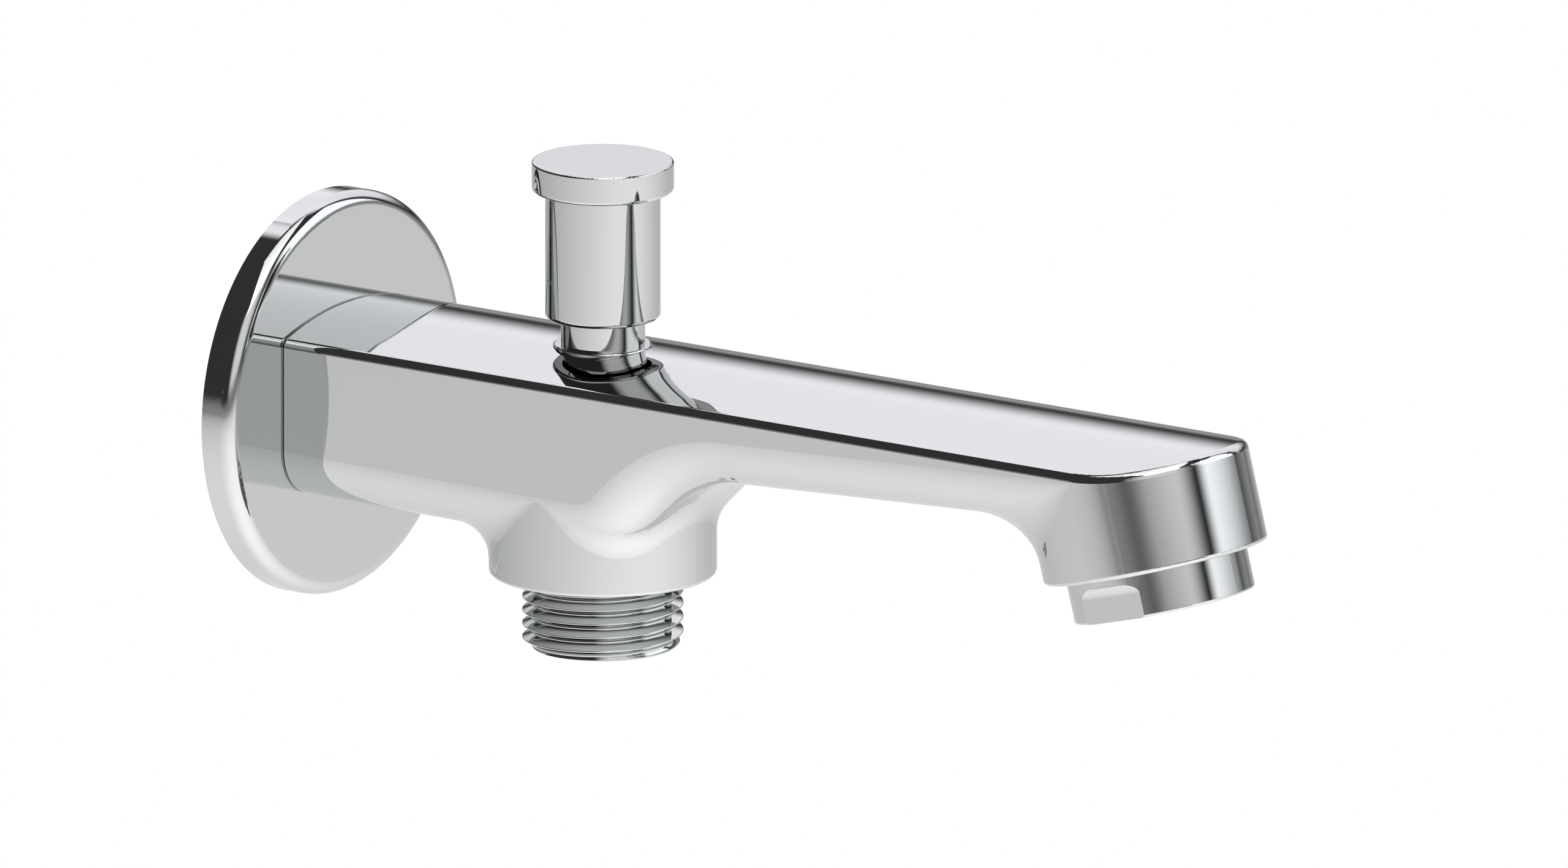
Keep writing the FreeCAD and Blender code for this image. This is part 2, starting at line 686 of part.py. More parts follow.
def aerator():
    """The aerator in the head: chromed housing outside, plastic and mesh inserts within."""
    housing = turned("aerator_housing", [
        ("aerator_lip_radius", "0 - aerator_ring_length"),
        ("aerator_ring_radius", "0 - aerator_ring_length"),
        ("aerator_ring_radius", "0 - running_gap"),
        ("aerator_thread_radius", "0 - running_gap"),
        ("aerator_thread_radius", "aerator_thread_length"),
        ("aerator_bore_radius", "aerator_thread_length"),
        ("aerator_bore_radius", "aerator_lip_length - aerator_ring_length"),
        ("aerator_lip_radius", "aerator_lip_length - aerator_ring_length"),
    ], rounds=[(1, "aerator_ring_round")])
    # two wrench flats, each run out at its top by the round of the cutter
    flat_top = "wrench_height - aerator_ring_length"
    below_ring = "0 - aerator_ring_length - cut_margin"
    flats = new_sketch(housing, "YZ_Plane")
    runout = new_sketch(housing, "YZ_Plane")
    for side in ("1", "0 - 1"):
        cutter_y = f"({side}) * (wrench_flats / 2 + wrench_cutter_radius)"
        rectangle(flats, f"({side}) * wrench_flats / 2", cutter_y, below_ring, flat_top)
        circle(runout, cutter_y, flat_top, "wrench_cutter_radius")
    for cut in (flats, runout):
        feature(housing, "Pocket", cut, Type="ThroughAll", SideType="Symmetric")
    seat(housing, **IN_HEAD)

    floor = "aerator_lip_length - aerator_ring_length"
    insert_radius = "aerator_bore_radius - fit_gap"
    strainer_low = "aerator_thread_length - strainer_thickness"
    diffuser_low = f"{strainer_low} - diffuser_gap - diffuser_thickness"
    mesh_radius = f"{insert_radius} - sleeve_wall - running_gap"
    ring("aerator_gasket", "outlet_radius - fit_gap", "aerator_gasket_inner",
         "aerator_thread_length", "aerator_thread_length + aerator_gasket_thickness", **IN_HEAD)
    ring("aerator_sleeve", insert_radius, f"{insert_radius} - sleeve_wall",
         floor, diffuser_low, **IN_HEAD)
    strainer_rings = [
        ("strainer_pitch_radius", "strainer_inner_holes"),
        ("2 * strainer_pitch_radius", "strainer_outer_holes"),
    ]
    perforated("aerator_strainer", insert_radius, strainer_low, "strainer_thickness",
               "strainer_hole_radius", strainer_rings)
    perforated("aerator_diffuser", insert_radius, diffuser_low, "diffuser_thickness",
               "diffuser_hole_radius", [("diffuser_pitch_radius", "diffuser_holes")])
    grille_top = f"{floor} + grille_thickness"
    for name, step in (("lower", "1"), ("upper", "2")):
        low = f"{grille_top} + {step} * screen_spacing - screen_thickness"
        disc(f"aerator_screen_{name}", mesh_radius, low, "screen_thickness")
    grille(floor, mesh_radius)


def disc(label, radius, low, thickness):
    body = new_body(label)
    outline = new_sketch(body, "XY_Plane", z=low)
    circle(outline, "0", "0", radius)
    feature(body, "Pad", outline, Length=thickness)
    seat(body, **IN_HEAD)
    return body


def perforated(label, radius, low, thickness, hole_radius, circles):
    """A disc with rings of equal holes, each ring a hole and its polar pattern."""
    body = disc(label, radius, low, thickness)
    for pitch_radius, count in circles:
        drill = new_sketch(body, "XY_Plane", z=low)
        circle(drill, pitch_radius, "0", hole_radius)
        hole = feature(body, "Pocket", drill, Reversed=True, Length=thickness)
        pattern = body.newObject("PartDesign::PolarPattern", f"{label}_ring")
        pattern.Originals = [hole]
        pattern.Axis = (drill, ["N_Axis"])
        pattern.Angle = 360
        tie(pattern, Occurrences=count)
        body.Tip = pattern
        doc.recompute()


def grille(low, radius):
    """The square grid at the aerator's mouth: crossed bars cut to a round."""
    bars = []
    start = f"0 - ({radius})"
    bars_each_side = int(cell("grille_bars_each_side"))
    for step in range(-bars_each_side, bars_each_side + 1):
        offset = f"(0 + {step}) * grille_pitch - grille_bar / 2"
        for name, across, along in (("x", "Width", "Length"), ("y", "Length", "Width")):
            bar = doc.addObject("Part::Box", f"grille_bar_{name}")
            tie(bar, **{along: f"2 * ({radius})", across: "grille_bar", "Height": "grille_thickness"})
            x, y = (start, offset) if name == "x" else (offset, start)
            tie(bar, Placement__Base__x=x, Placement__Base__y=y, Placement__Base__z=low)
            bars.append(bar)
    grid = doc.addObject("Part::MultiFuse", "grille_grid")
    grid.Shapes = bars
    limit = doc.addObject("Part::Cylinder", "grille_limit")
    tie(limit, Radius=radius, Height="grille_thickness", Placement__Base__z=low)
    mouth = doc.addObject("Part::Common", "aerator_grille")
    mouth.Base = grid
    mouth.Tool = limit
    mouth.Label = mouth.Name
    PARTS[mouth.Label] = mouth
    seat(mouth, **IN_HEAD)


def export():
    """Check every object, then write each piece to a file of its own."""
    doc.recompute()
    for item in doc.Objects:
        if "Invalid" in item.State or "Error" in item.State:
            raise RuntimeError(f"{item.Label} failed: {item.State}")
    os.makedirs("parts", exist_ok=True)
    for label, piece in PARTS.items():
        shape = piece.Shape
        if shape.isNull() or not shape.isValid() or not shape.Solids:
            raise RuntimeError(f"{label} has no valid shape")
        shape.exportStep(f"parts/{label}.step")
        print(f"{label}: {len(shape.Solids)} solid, {shape.Volume:.1f} mm3")


spout_body()
wall_side()
shower_outlet()
diverter()
aerator()
export()
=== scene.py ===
# %% [markdown]
# # A chrome bath spout
#
# The spout is a brass casting with a bright chrome plate. Round it sit a turned wall flange, a
# knob that lifts to send the water down to the shower, a threaded nipple for the shower hose
# and an aerator in the outlet. The CAD model is loaded first and stays where it is, because
# every new piece has to fit it. X runs out from the wall and Z up, in metres.

# %% Load the CAD model
import json
import math

import bpy
from mathutils import Matrix, Vector


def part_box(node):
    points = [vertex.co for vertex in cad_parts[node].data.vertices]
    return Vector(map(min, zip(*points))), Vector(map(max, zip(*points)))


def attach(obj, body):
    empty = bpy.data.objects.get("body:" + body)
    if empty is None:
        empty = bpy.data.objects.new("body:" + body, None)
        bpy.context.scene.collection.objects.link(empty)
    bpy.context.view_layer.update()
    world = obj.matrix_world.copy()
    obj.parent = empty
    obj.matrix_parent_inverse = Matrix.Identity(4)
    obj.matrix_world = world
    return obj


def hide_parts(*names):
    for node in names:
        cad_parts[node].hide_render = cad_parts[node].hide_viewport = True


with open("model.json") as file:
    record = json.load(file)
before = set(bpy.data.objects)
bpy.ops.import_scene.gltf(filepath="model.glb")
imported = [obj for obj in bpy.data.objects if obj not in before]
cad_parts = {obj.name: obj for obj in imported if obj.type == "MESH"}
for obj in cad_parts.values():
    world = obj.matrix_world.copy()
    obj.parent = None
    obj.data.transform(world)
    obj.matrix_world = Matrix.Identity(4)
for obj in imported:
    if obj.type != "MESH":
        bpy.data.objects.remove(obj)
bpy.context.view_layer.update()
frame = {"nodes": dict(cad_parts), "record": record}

MM = 0.001


# %% [markdown]
# ## Camera
#
# The photograph has no perspective: edges that run away from us stay parallel. So the camera
# is orthographic, 35 degrees round from the side towards the outlet and a little above. Its
# distance changes nothing in such a view and only has to keep it clear of the object.

# %% Camera at the photograph's angle
AZIMUTH, ELEVATION = math.radians(35.2), math.radians(14.0)
VIEW_WIDTH = 203.5 * MM
AIM = Vector((73.77, 0.0, 4.485)) * MM
CAMERA_DISTANCE = 0.9

to_camera = Vector((
    math.sin(AZIMUTH) * math.cos(ELEVATION),
    -math.cos(AZIMUTH) * math.cos(ELEVATION),
    math.sin(ELEVATION),
))
camera_data = bpy.data.cameras.new("camera")
camera_data.type = "ORTHO"
camera_data.ortho_scale = VIEW_WIDTH
camera_data.clip_end = 10
camera = bpy.data.objects.new("camera", camera_data)
bpy.context.scene.collection.objects.link(camera)
camera.location = AIM + to_camera * CAMERA_DISTANCE
camera.rotation_mode = "QUATERNION"
camera.rotation_quaternion = (-to_camera).to_track_quat("-Z", "Y")
bpy.context.scene.camera = camera
print("camera looks along", [round(v, 3) for v in -to_camera])

# %% [markdown]
# ## Colours and nodes
#
# Colours are written as hex, the way a paint program shows them, and Blender's shaders want
# linear light, so one function turns the one into the other. A second adds a node. Each of its
# settings names a socket or a property of the node: another node's output is linked to the
# socket, and a plain value is written into it.

# %% Colour and node helpers
def linear(hex_colour):
    """An sRGB colour written as hex, in linear light."""
    values = [int(hex_colour[i:i + 2], 16) / 255 for i in (1, 3, 5)]
    return [v / 12.92 if v <= 0.04045 else ((v + 0.055) / 1.055) ** 2.4 for v in values] + [1.0]


def add(material, kind, settings):
    """Add a node to a material, with its sockets set or linked and its properties set."""
    node = material.node_tree.nodes.new(kind)
    for name, value in settings.items():
        if isinstance(name, str) and name not in node.inputs:
            setattr(node, name, value)
        elif isinstance(value, bpy.types.NodeSocket):
            material.node_tree.links.new(value, node.inputs[name])
        else:
            node.inputs[name].default_value = value
    return node


def new_material(name, **shader):
    """A material with its Principled shader set, a space in a socket's name written as _."""
    material = bpy.data.materials.new(name)
    material.use_nodes = True
    bsdf = material.node_tree.nodes["Principled BSDF"]
    for socket, value in shader.items():
        bsdf.inputs[socket.replace("_", " ")].default_value = value
    return material, bsdf


def finish_with(material, bsdf, **sources):
    """Link outputs to sockets of the Principled shader, named in the same way."""
    for socket, source in sources.items():
        material.node_tree.links.new(source, bsdf.inputs[socket.replace("_", " ")])


print("mid grey in linear light:", round(linear("#808080")[0], 3))

# %% [markdown]
# ## Chrome plate
#
# Bright chrome is a mirror with a faint cool cast. This one is thin and a little dark, and
# gives back less than half of what it sees, so a reflection of a reflection is mid grey. The
# brass is buffed on cloth wheels before it is plated, and the wheels leave a haze that comes
# and goes over a centimetre or so. A noise of that size moves the roughness between that of a
# mirror and a very light haze. The shape does the rest.

# %% Chrome plate
NOISE_LOW, NOISE_HIGH = 0.3, 0.7  # nearly all of a noise texture lies between these


def wander(material, size, low, high, detail=3.0):
    """A value that wanders between low and high over patches of a size in mm."""
    place = add(material, "ShaderNodeTexCoord", {})
    patches = add(material, "ShaderNodeTexNoise", {
        "Vector": place.outputs["Object"], "Scale": 1 / (size * MM), "Detail": detail})
    return add(material, "ShaderNodeMapRange", {
        "Value": patches.outputs["Fac"], "From Min": NOISE_LOW, "From Max": NOISE_HIGH,
        "To Min": low, "To Max": high}).outputs["Result"]


CHROME_COLOUR = "#B2B4B3"
BUFFING_HAZE = {"size": 12, "low": 0.02, "high": 0.04}
chrome, shader = new_material(
    "buffed_chrome_plate", Base_Color=linear(CHROME_COLOUR), Metallic=1.0)
finish_with(chrome, shader, Roughness=wander(chrome, **BUFFING_HAZE))
print("chrome gives back", [round(v, 2) for v in linear(CHROME_COLOUR)[:3]])

# %% [markdown]
# ## Turned brass
#
# The spindle, its disc, its washers and its nut stay bare, because nobody sees them. The lathe
# tool leaves fine grooves 0.12 mm apart on the faces as well as round the sides, so the pattern
# counts outwards and upwards at once. Brass dulls in patches as it is handled, which a second
# colour and a second roughness give.

# %% Turned brass
BOSS_X = 45.0
GROOVE_PITCH, GROOVE_DEPTH = 0.12, 0.004
DULLED_PATCH = 4
BRASS_SHEEN = {"size": 2, "low": 0.22, "high": 0.38}


def blend(material, share, first, second):
    """A colour or a grey value between two, given as a share of the second."""
    return add(material, "ShaderNodeMix", {
        "data_type": "RGBA", 0: share, 6: first, 7: second}).outputs[2]


def relief(material, height, depth):
    """Bumps of a depth in mm."""
    return add(material, "ShaderNodeBump", {
        "Height": height, "Distance": depth * MM}).outputs["Normal"]


def ripple(material, along, pitch):
    """A wave from 0 to 1 with a pitch in mm, along a distance in metres."""
    turns = add(material, "ShaderNodeMath", {
        "operation": "MULTIPLY", 0: along, 1: 2 * math.pi / (pitch * MM)})
    wave = add(material, "ShaderNodeMath", {"operation": "SINE", 0: turns.outputs[0]})
    return add(material, "ShaderNodeMath", {
        "operation": "MULTIPLY_ADD", 0: wave.outputs[0], 1: 0.5, 2: 0.5}).outputs[0]


brass, shader = new_material("turned_brass", Metallic=1.0)
place = add(brass, "ShaderNodeTexCoord", {})
centred = add(brass, "ShaderNodeVectorMath", {
    "operation": "SUBTRACT", 0: place.outputs["Object"], 1: (BOSS_X * MM, 0, 0)})
part = add(brass, "ShaderNodeSeparateXYZ", {"Vector": centred.outputs["Vector"]})
flat = add(brass, "ShaderNodeCombineXYZ", {"X": part.outputs["X"], "Y": part.outputs["Y"]})
outward = add(brass, "ShaderNodeVectorMath", {"operation": "LENGTH", 0: flat.outputs["Vector"]})
along = add(brass, "ShaderNodeMath", {
    "operation": "ADD", 0: outward.outputs["Value"], 1: part.outputs["Z"]})
finish_with(
    brass, shader,
    Base_Color=blend(
        brass, wander(brass, DULLED_PATCH, 0.0, 1.0), linear("#D1AC62"), linear("#B18D4C")),
    Roughness=wander(brass, **BRASS_SHEEN),
    Normal=relief(brass, ripple(brass, along.outputs[0], GROOVE_PITCH), GROOVE_DEPTH))
print("brass nodes:", len(brass.node_tree.nodes))

# %% [markdown]
# ## Rubber and acetal
#
# Seals are moulded black rubber. Wax comes to its surface as a grey bloom, so the colour isn't
# quite black and the sheen changes in patches, over the fine grain of the mould. The aerator's
# insides are moulded acetal, which is waxy and milky: satin, smooth, with a very fine spark
# grain from the mould and some light let in under its skin.

# %% Rubber and acetal
SKIN_SHARE = 0.3
GRAIN_STEEPNESS = 0.1


def moulded(name, colour, second_colour, patch, sheen, grain, skin_depth=0.0):
    """A moulded material with patches of two colours and a grain, all sizes in mm."""
    material, shader = new_material(name)
    if skin_depth:
        shader.inputs["Subsurface Weight"].default_value = SKIN_SHARE
        shader.inputs["Subsurface Radius"].default_value = (1, 1, 1)
        shader.inputs["Subsurface Scale"].default_value = skin_depth * MM
    share = wander(material, patch, 0, 1)
    bumps = wander(material, grain, 0, 1, detail=1.0)
    finish_with(
        material, shader,
        Base_Color=blend(material, share, linear(colour), linear(second_colour)),
        Roughness=wander(material, patch / 2, *sheen),
        Normal=relief(material, bumps, grain * GRAIN_STEEPNESS))
    return material


RUBBER_SHEEN, ACETAL_SHEEN = (0.5, 0.75), (0.32, 0.45)
rubber = moulded("moulded_black_rubber", "#191919", "#2A2A2B", 3, RUBBER_SHEEN, 0.15)
white_acetal = moulded(
    "moulded_white_acetal", "#E2E1DC", "#D5D4CE", 6, ACETAL_SHEEN, 0.08, skin_depth=0.6)
grey_acetal = moulded(
    "moulded_grey_acetal", "#6F7173", "#636567", 6, ACETAL_SHEEN, 0.08, skin_depth=0.3)
print("moulded:", rubber.name, white_acetal.name, grey_acetal.name)

# %% [markdown]
# ## Woven steel wire
#
# The aerator's two screens are woven from wire 0.18 mm thick at 0.45 mm. Modelling each wire
# would take more faces than all the rest, so the weave is drawn on the disc: one wave runs
# across X and one across Y, the higher of the two is the wire on top, and where both are low
# there is a hole that light goes through.

# %% Woven steel wire
WIRE_PITCH, WIRE_SHARE = 0.45, 0.4
WIRE_SHEEN = {"size": 1, "low": 0.25, "high": 0.4}

wire, shader = new_material("woven_steel_wire", Metallic=1.0)
place = add(wire, "ShaderNodeTexCoord", {})
part = add(wire, "ShaderNodeSeparateXYZ", {"Vector": place.outputs["Object"]})
weave = add(wire, "ShaderNodeMath", {
    "operation": "MAXIMUM",
    0: ripple(wire, part.outputs["X"], WIRE_PITCH),
    1: ripple(wire, part.outputs["Y"], WIRE_PITCH)})
hole_level = (1 + math.cos(math.pi * WIRE_SHARE)) / 2
solid = add(wire, "ShaderNodeMath", {
    "operation": "GREATER_THAN", 0: weave.outputs[0], 1: hole_level})
finish_with(
    wire, shader,
    Base_Color=blend(wire, wander(wire, 2, 0, 1), linear("#A7A8A8"), linear("#8E8F90")),
    Roughness=wander(wire, **WIRE_SHEEN),
    Normal=relief(wire, weave.outputs[0], WIRE_PITCH * WIRE_SHARE / 2),
    Alpha=solid.outputs[0])
print("a wire fills", WIRE_SHARE, "of each", WIRE_PITCH, "mm")

# %% [markdown]
# ## Casting: plated outside, machined inside
#
# The spout's inlet is tapped after the plating, so its bore shows bare brass with a half-inch
# pipe thread. One material does both. A mask picks out what lies near the inlet's axis and
# near the wall, and there the chrome gives way to brass whose wave winds round the axis: its
# height grows by one pitch for each turn, which is what makes it a thread.

# %% Plated casting with a tapped inlet
PITCH = 1.814
INLET_RADIUS, INLET_DEPTH = 9.45, 22.0
TAPPED_RELIEF = 1.0

casting, shader = new_material("plated_brass_casting", Metallic=1.0)
place = add(casting, "ShaderNodeTexCoord", {})
part = add(casting, "ShaderNodeSeparateXYZ", {"Vector": place.outputs["Object"]})
across = add(casting, "ShaderNodeCombineXYZ", {"Y": part.outputs["Y"], "Z": part.outputs["Z"]})
outward = add(casting, "ShaderNodeVectorMath", {
    "operation": "LENGTH", 0: across.outputs["Vector"]})
near_axis = add(casting, "ShaderNodeMath", {
    "operation": "LESS_THAN", 0: outward.outputs["Value"], 1: INLET_RADIUS * MM})
near_wall = add(casting, "ShaderNodeMath", {
    "operation": "LESS_THAN", 0: part.outputs["X"], 1: INLET_DEPTH * MM})
tapped = add(casting, "ShaderNodeMath", {
    "operation": "MULTIPLY", 0: near_axis.outputs[0], 1: near_wall.outputs[0]}).outputs[0]
angle = add(casting, "ShaderNodeMath", {
    "operation": "ARCTAN2", 0: part.outputs["Z"], 1: part.outputs["Y"]})
helix = add(casting, "ShaderNodeMath", {
    "operation": "MULTIPLY_ADD", 0: angle.outputs[0], 1: PITCH * MM / (2 * math.pi),
    2: part.outputs["X"]})
ridges = add(casting, "ShaderNodeMath", {
    "operation": "MULTIPLY", 0: ripple(casting, helix.outputs[0], PITCH), 1: tapped})
finish_with(
    casting, shader,
    Base_Color=blend(casting, tapped, linear(CHROME_COLOUR), linear("#C9A45C")),
    Roughness=blend(
        casting, tapped, wander(casting, **BUFFING_HAZE), wander(casting, **BRASS_SHEEN)),
    Normal=relief(casting, ridges.outputs[0], TAPPED_RELIEF))
print("tapped to", INLET_DEPTH, "mm")

# %% [markdown]
# ## Finishes on the CAD pieces
#
# The record says which finish each piece has, so each slot gets its material. The spout's
# casting is the one piece with two.

# %% Materials on the CAD pieces
FINISH = {
    "chrome_plate": chrome,
    "brass": brass,
    "black_rubber": rubber,
    "white_plastic": white_acetal,
    "grey_plastic": grey_acetal,
    "steel_mesh": wire,
}
slots = {entry["node"]: entry["material_slot"] for entry in frame["record"]["subparts"]}
for name, node in frame["nodes"].items():
    node.data.materials.clear()
    node.data.materials.append(casting if name == "spout_body" else FINISH[slots[name]])
print("materials on", len(frame["nodes"]), "nodes")

# %% [markdown]
# ## Threaded nipple: section of the thread
#
# The shower hose screws onto a half-inch pipe thread under the boss. In the CAD model it is a
# plain cylinder at the height of the crests, so here the real thread is cut. A thread is one
# section wound round an axis, so just one pitch of it is drawn: a single point is spun into
# the crest, which the die leaves a little round, and then both ends are extruded down the
# flanks, at 27.5 degrees to the radius, and one of them along the root. One crest's height was
# measured in the photograph, and the section starts six turns below it.

# %% Section of the thread
CREST_RADIUS, ROOT_RADIUS, CREST_ROUND = 10.48, 9.31, 0.13
CREST_STEPS = 5
FLANK = math.radians(27.5)
NIPPLE_END, SHANK_TOP = -27.7, -17.65
MEASURED_CREST = -20.47
START = MEASURED_CREST - 6 * PITCH
HAIR = 0.001  # mm, what counts as the same spot


def deselect():
    """Leave nothing selected, in object mode."""
    bpy.ops.object.select_all(action="DESELECT")


def pick(piece, wanted, kind="vertices"):
    """Go into edit mode with just the vertices or faces that pass a test selected."""
    if bpy.context.mode == "EDIT_MESH":
        bpy.ops.object.mode_set(mode="OBJECT")
    mesh = piece.data
    for group in (mesh.vertices, mesh.edges, mesh.polygons):
        group.foreach_set("select", [False] * len(group))
    for item in getattr(mesh, kind):
        item.select = wanted(item)
    bpy.ops.object.mode_set(mode="EDIT")
    bpy.ops.mesh.select_mode(type="VERT" if kind == "vertices" else "FACE")


def pull(x=0.0, z=0.0):
    """Extrude what is selected by a distance in mm."""
    bpy.ops.mesh.extrude_region_move(TRANSFORM_OT_translate={"value": (x * MM, 0, z * MM)})


arc_centre = CREST_RADIUS - CREST_ROUND
arc_end_x = arc_centre + CREST_ROUND * math.sin(FLANK)
arc_end_z = CREST_ROUND * math.cos(FLANK)
flank_depth = arc_end_x - ROOT_RADIUS
flank_rise = flank_depth * math.tan(FLANK)
root_flat = PITCH - 2 * (arc_end_z + flank_rise)

deselect()
bpy.ops.mesh.primitive_plane_add(
    size=MM, location=(arc_end_x * MM, 0, (START - arc_end_z) * MM))
thread = bpy.context.active_object
thread.name = "thread"
bpy.ops.object.transform_apply(location=True, rotation=True, scale=True)
pick(thread, lambda v: True)
bpy.ops.mesh.merge(type="CENTER")
bpy.ops.mesh.spin(
    steps=CREST_STEPS, angle=math.pi - 2 * FLANK,
    center=(arc_centre * MM, 0, START * MM), axis=(0, 1, 0))
pull(-flank_depth, flank_rise)
pull(0, root_flat)
pick(thread, lambda v: v.co.z < (START - arc_end_z + HAIR) * MM)
pull(-flank_depth, -flank_rise)
bpy.ops.object.mode_set(mode="OBJECT")
heights = [v.co.z / MM for v in thread.data.vertices]
root = min(v.co.x for v in thread.data.vertices) / MM
print("section:", len(heights), "points,", round(max(heights) - min(heights), 3),
      "mm high, root at", round(root, 2))

# %% [markdown]
# ## Winding
#
# The Screw modifier winds the section nine times. The section is just one pitch high, so each
# turn ends where the next one starts, and merging the doubles makes one skin. A flat cut at
# each end, filled as it is made, turns the skin into a solid rod. The rod is a little too long
# at both ends: the trimming below takes off its lower end, and its upper end sinks into the
# head.

# %% Winding the thread
TURNS, STEPS_A_TURN = 9, 96
OVERRUN = 0.5

winding = thread.modifiers.new("winding", "SCREW")
winding.axis = "Z"
winding.screw_offset = PITCH * MM
winding.iterations = TURNS
winding.steps = winding.render_steps = STEPS_A_TURN
bpy.ops.object.modifier_apply(modifier="winding")
pick(thread, lambda v: True)
bpy.ops.mesh.remove_doubles(threshold=HAIR * MM)
for height, outwards in ((NIPPLE_END - OVERRUN, -1), (SHANK_TOP + OVERRUN, 1)):
    bpy.ops.mesh.select_all(action="SELECT")
    bpy.ops.mesh.bisect(
        plane_co=(0, 0, height * MM), plane_no=(0, 0, outwards), use_fill=True,
        clear_outer=True, threshold=HAIR / 10 * MM)
bpy.ops.mesh.select_all(action="SELECT")
bpy.ops.mesh.normals_make_consistent(inside=False)
bpy.ops.object.mode_set(mode="OBJECT")
thread.location.x = BOSS_X * MM
bpy.ops.object.transform_apply(location=True, rotation=True, scale=True)
print("wound thread:", len(thread.data.polygons), "faces")

# %% [markdown]
# ## Head and seat lip
#
# Above the thread the nipple has a round head, which clamps its gasket against the boss. It
# starts as one cylinder. Twice its top face is extruded on the spot, made narrower and then
# extruded along: up to the lip that the valve's seal sits on, and back down inside the lip.

# %% Head
SIDES = 128
HEAD_RADIUS, HEAD_TOP = 11.9, -13.2
LIP_OUTER, LIP_RISE = 8.4, 2.7
LIP_INNER, LIP_DROP = 6.8, 4.0


def cylinder(name, radius, low, high, sides=SIDES, turn=0.0):
    """An upright cylinder on the boss's axis, with its radius and heights in mm."""
    deselect()
    bpy.ops.mesh.primitive_cylinder_add(
        vertices=sides, radius=radius * MM, depth=(high - low) * MM,
        location=(BOSS_X * MM, 0, (low + high) / 2 * MM), rotation=(0, 0, turn))
    piece = bpy.context.active_object
    piece.name = name
    bpy.ops.object.transform_apply(location=True, rotation=True, scale=True)
    return piece


nipple = cylinder("shower_nipple_threaded", HEAD_RADIUS, SHANK_TOP, HEAD_TOP)
pick(nipple, lambda f: f.normal.z > 0.9, "polygons")
for old_radius, radius, rise in (
        (HEAD_RADIUS, LIP_OUTER, LIP_RISE), (LIP_OUTER, LIP_INNER, -LIP_DROP)):
    ratio = radius / old_radius
    pull()
    bpy.ops.transform.resize(value=(ratio, ratio, 1), center_override=(BOSS_X * MM, 0, 0))
    pull(z=rise)
bpy.ops.object.mode_set(mode="OBJECT")
print("head:", len(nipple.data.polygons), "faces")

# %% [markdown]
# ## Chamfer, bore and key socket
#
# What is shared with a gauge that has a bevelled lower edge leaves the thread with its lead-in
# chamfer and its flat end. Then it is joined to the head, drilled through for the water, and
# broached with the hexagon that a 14 mm key turns.

# %% Trimming, joining and drilling
GAUGE_RADIUS, CHAMFER = 10.9, 1.36
BORE_RADIUS, BORE_TOP = 6.5, -15.0
KEY_FLATS, KEY_DEPTH = 14.0, 8.0
CLEAR = 1  # mm by which a cutting tool stands out


def cut(piece, tool, operation):
    """Apply a Boolean with a tool that is then thrown away."""
    deselect()
    bpy.context.view_layer.objects.active = piece
    piece.select_set(True)
    boolean = piece.modifiers.new(operation, "BOOLEAN")
    boolean.operation = operation
    boolean.solver = "EXACT"
    boolean.object = tool
    bpy.ops.object.modifier_apply(modifier=boolean.name)
    bpy.data.objects.remove(tool)
    print(operation, "leaves", len(piece.data.polygons), "faces")


gauge = cylinder("gauge", GAUGE_RADIUS, NIPPLE_END, SHANK_TOP + CLEAR)
pick(gauge, lambda f: f.normal.z < -0.9, "polygons")
bpy.ops.mesh.bevel(offset=CHAMFER * MM, segments=1)
bpy.ops.object.mode_set(mode="OBJECT")
cut(thread, gauge, "INTERSECT")
cut(nipple, thread, "UNION")
drill = cylinder("drill", BORE_RADIUS, NIPPLE_END - CLEAR, BORE_TOP, sides=96)
cut(nipple, drill, "DIFFERENCE")
broach = cylinder(
    "broach", KEY_FLATS / math.sqrt(3), NIPPLE_END - CLEAR, NIPPLE_END + KEY_DEPTH,
    sides=6, turn=math.pi / 6)
cut(nipple, broach, "DIFFERENCE")

# %% [markdown]
# ## Smoothing the nipple
#
# Flanks and crests shade smooth, and edges sharper than 32 degrees stay crisp. Weighted
# normals keep the large faces flat where a Boolean has left thin ones beside them. The new
# nipple then takes the place of the CAD model's, on the same body and in the same finish.

# %% Smoothing and fitting the nipple
CRISP = math.radians(32)

deselect()
nipple.select_set(True)
bpy.context.view_layer.objects.active = nipple
pick(nipple, lambda v: True)
bpy.ops.mesh.remove_doubles(threshold=HAIR * MM)
bpy.ops.mesh.select_all(action="SELECT")
bpy.ops.mesh.normals_make_consistent(inside=False)
bpy.ops.object.mode_set(mode="OBJECT")
bpy.ops.object.shade_smooth_by_angle(angle=CRISP)
nipple.modifiers.new("flat_flanks", "WEIGHTED_NORMAL")
bpy.ops.object.modifier_apply(modifier="flat_flanks")
nipple.data.materials.clear()
nipple.data.materials.append(chrome)
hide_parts("shower_nipple")
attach(nipple, "spout")
cad_heights = [round(corner[2] / MM, 2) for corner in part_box("shower_nipple")]
heights = [v.co.z / MM for v in nipple.data.vertices]
print("CAD nipple z", cad_heights, "new", [round(min(heights), 2), round(max(heights), 2)])

# %% [markdown]
# ## Air and floor
#
# The air is white light from all round, at a strength of 1, so that a painted colour comes out
# as it is written. The floor is a wide disc of white paper. It lies well below the spout, which
# hangs on a wall.

# %% World and floor
CENTRE = Vector((60.0, 0.0, 0.0)) * MM
FLOOR_Z = -0.45
FAR = 6.0

bpy.context.scene.view_settings.view_transform = "Standard"
world = bpy.data.worlds.new("studio")
bpy.context.scene.world = world
world.use_nodes = True
world.node_tree.nodes["Background"].inputs["Color"].default_value = (1, 1, 1, 1)

deselect()
bpy.ops.mesh.primitive_circle_add(
    vertices=96, radius=FAR, fill_type="NGON", location=(CENTRE.x, 0, FLOOR_Z))
floor = bpy.context.active_object
floor.name = "floor"
print("floor at", FLOOR_Z, "m")

